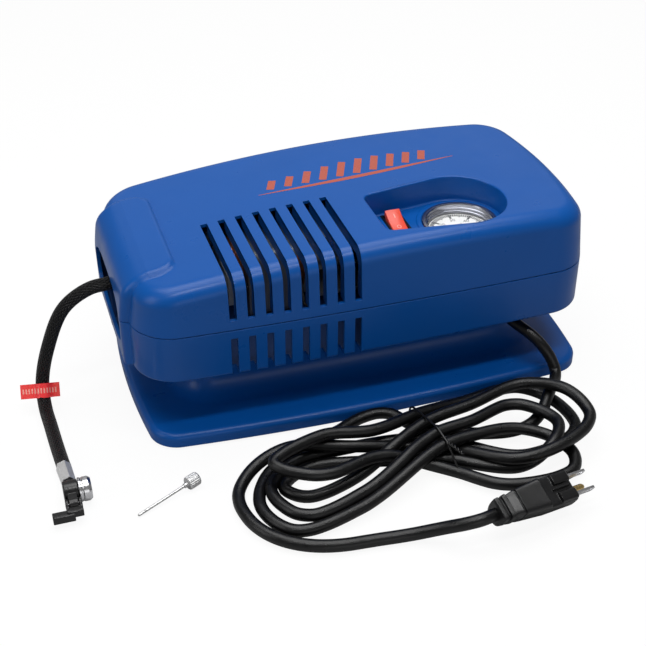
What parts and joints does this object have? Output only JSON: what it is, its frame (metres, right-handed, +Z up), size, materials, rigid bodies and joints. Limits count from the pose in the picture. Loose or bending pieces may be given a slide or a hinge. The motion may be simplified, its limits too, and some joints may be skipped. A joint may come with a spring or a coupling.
{
  "type": "portable piston air compressor",
  "caption": "Small mains piston air compressor for sports balls: two-part housing on a pedestal, recessed gauge and rocker switch, braided hose with lever chuck, loose needle, corded plug",
  "frame": {"origin": "middle of the whole set's footprint, on the floor", "axes": "+X along the housing away from the hose end, +Y towards the back, +Z up; the hose, needle and cord lie in front at -Y"},
  "size_m": [0.4188, 0.3438, 0.1373],
  "materials": {
    "housing_blue": "moulded blue plastic with a fine satin texture",
    "plastic_black": "black moulded plastic",
    "rubber_black": "soft black rubber",
    "plug_rubber": "moulded black vinyl",
    "hose_braid": "braided black sleeve over rubber hose",
    "rocker_red": "glossy red plastic",
    "tag_red": "thin red plastic film",
    "steel": "plain steel",
    "chrome": "bright plated metal",
    "laminations": "stacked electrical steel",
    "brass": "turned brass",
    "copper": "enamelled copper wire",
    "cast_alloy": "as-cast aluminium alloy",
    "dial_white": "white",
    "lens": "clear plastic lens"
  },
  "bodies": {
    "housing": {"upper_shell": "housing_blue", "lower_shell": "housing_blue", "base_pedestal": "housing_blue", "foot_front_left": "rubber_black", "foot_front_right": "rubber_black", "foot_back_left": "rubber_black", "foot_back_right": "rubber_black", "case_screw_front_left": "steel", "case_screw_front_right": "steel", "case_screw_back_left": "steel", "case_screw_back_right": "steel", "switch_body": "plastic_black", "gauge_case": "steel", "gauge_rim": "chrome", "gauge_dial": "dial_white", "gauge_lens": "lens", "gauge_movement": "brass", "motor_stator": "laminations", "winding_left": "copper", "winding_right": "copper", "motor_bracket_left": "cast_alloy", "bush_left": "brass", "bush_right": "brass", "crankcase": "cast_alloy", "cylinder": "cast_alloy", "valve_plate": "steel", "reed_valve": "steel", "cylinder_head": "cast_alloy", "head_bolt_1": "steel", "head_bolt_2": "steel", "outlet_tee": "brass", "gauge_tube": "plastic_black", "wire_load": "plastic_black", "wire_neutral": "dial_white", "motor_mount_front": "rubber_black", "motor_mount_back": "rubber_black", "hose": "hose_braid", "hose_tag": "tag_red", "hose_ferrule": "steel", "chuck_body": "plastic_black", "chuck_barrel": "chrome", "chuck_gland": "rubber_black", "lever_pin": "steel", "cord_strain_relief": "rubber_black", "power_cord": "rubber_black", "plug_body": "plug_rubber", "plug_blade_near": "chrome", "plug_blade_far": "chrome", "plug_ground_pin": "brass", "cord_tie": "plastic_black"},
    "rotor": {"motor_shaft": "steel", "motor_rotor": "laminations", "cooling_fan": "plastic_black", "crank": "steel"},
    "piston": {"connecting_rod": "cast_alloy", "piston_cup": "rubber_black"},
    "rocker": {"switch_rocker": "rocker_red"},
    "pointer": {"gauge_pointer": "plastic_black"},
    "lever": {"chuck_lever": "plastic_black"},
    "loose_needle": {"needle": "chrome"}
  },
  "joints": [
    {"name": "motor_spin", "type": "hinge", "parent": "housing", "child": "rotor", "pos_m": [-0.02136, 0.07491, 0.087], "axis": [1, 0, 0], "continuous": true},
    {"name": "piston_slide", "type": "slide", "parent": "housing", "child": "piston", "axis": [0, 1, 0], "range_m": [0, 0.016]},
    {"name": "rocker_tilt", "type": "hinge", "parent": "housing", "child": "rocker", "pos_m": [0.07204, 0.04491, 0.1168], "axis": [1, 0, 0], "range_deg": [-32, 0]},
    {"name": "pointer_turn", "type": "hinge", "parent": "housing", "child": "pointer", "pos_m": [0.11694, 0.03511, 0.1104], "axis": [0, 0, -1], "range_deg": [0, 270]},
    {"name": "lever_throw", "type": "hinge", "parent": "housing", "child": "lever", "pos_m": [-0.18936, -0.05909, 0.0086], "axis": [-1, 0, 0], "range_deg": [0, 80]},
    {"name": "needle_lift", "type": "slide", "parent": "housing", "child": "loose_needle", "axis": [0, 0, 1], "range_m": [0, 0.1]}
  ]
}
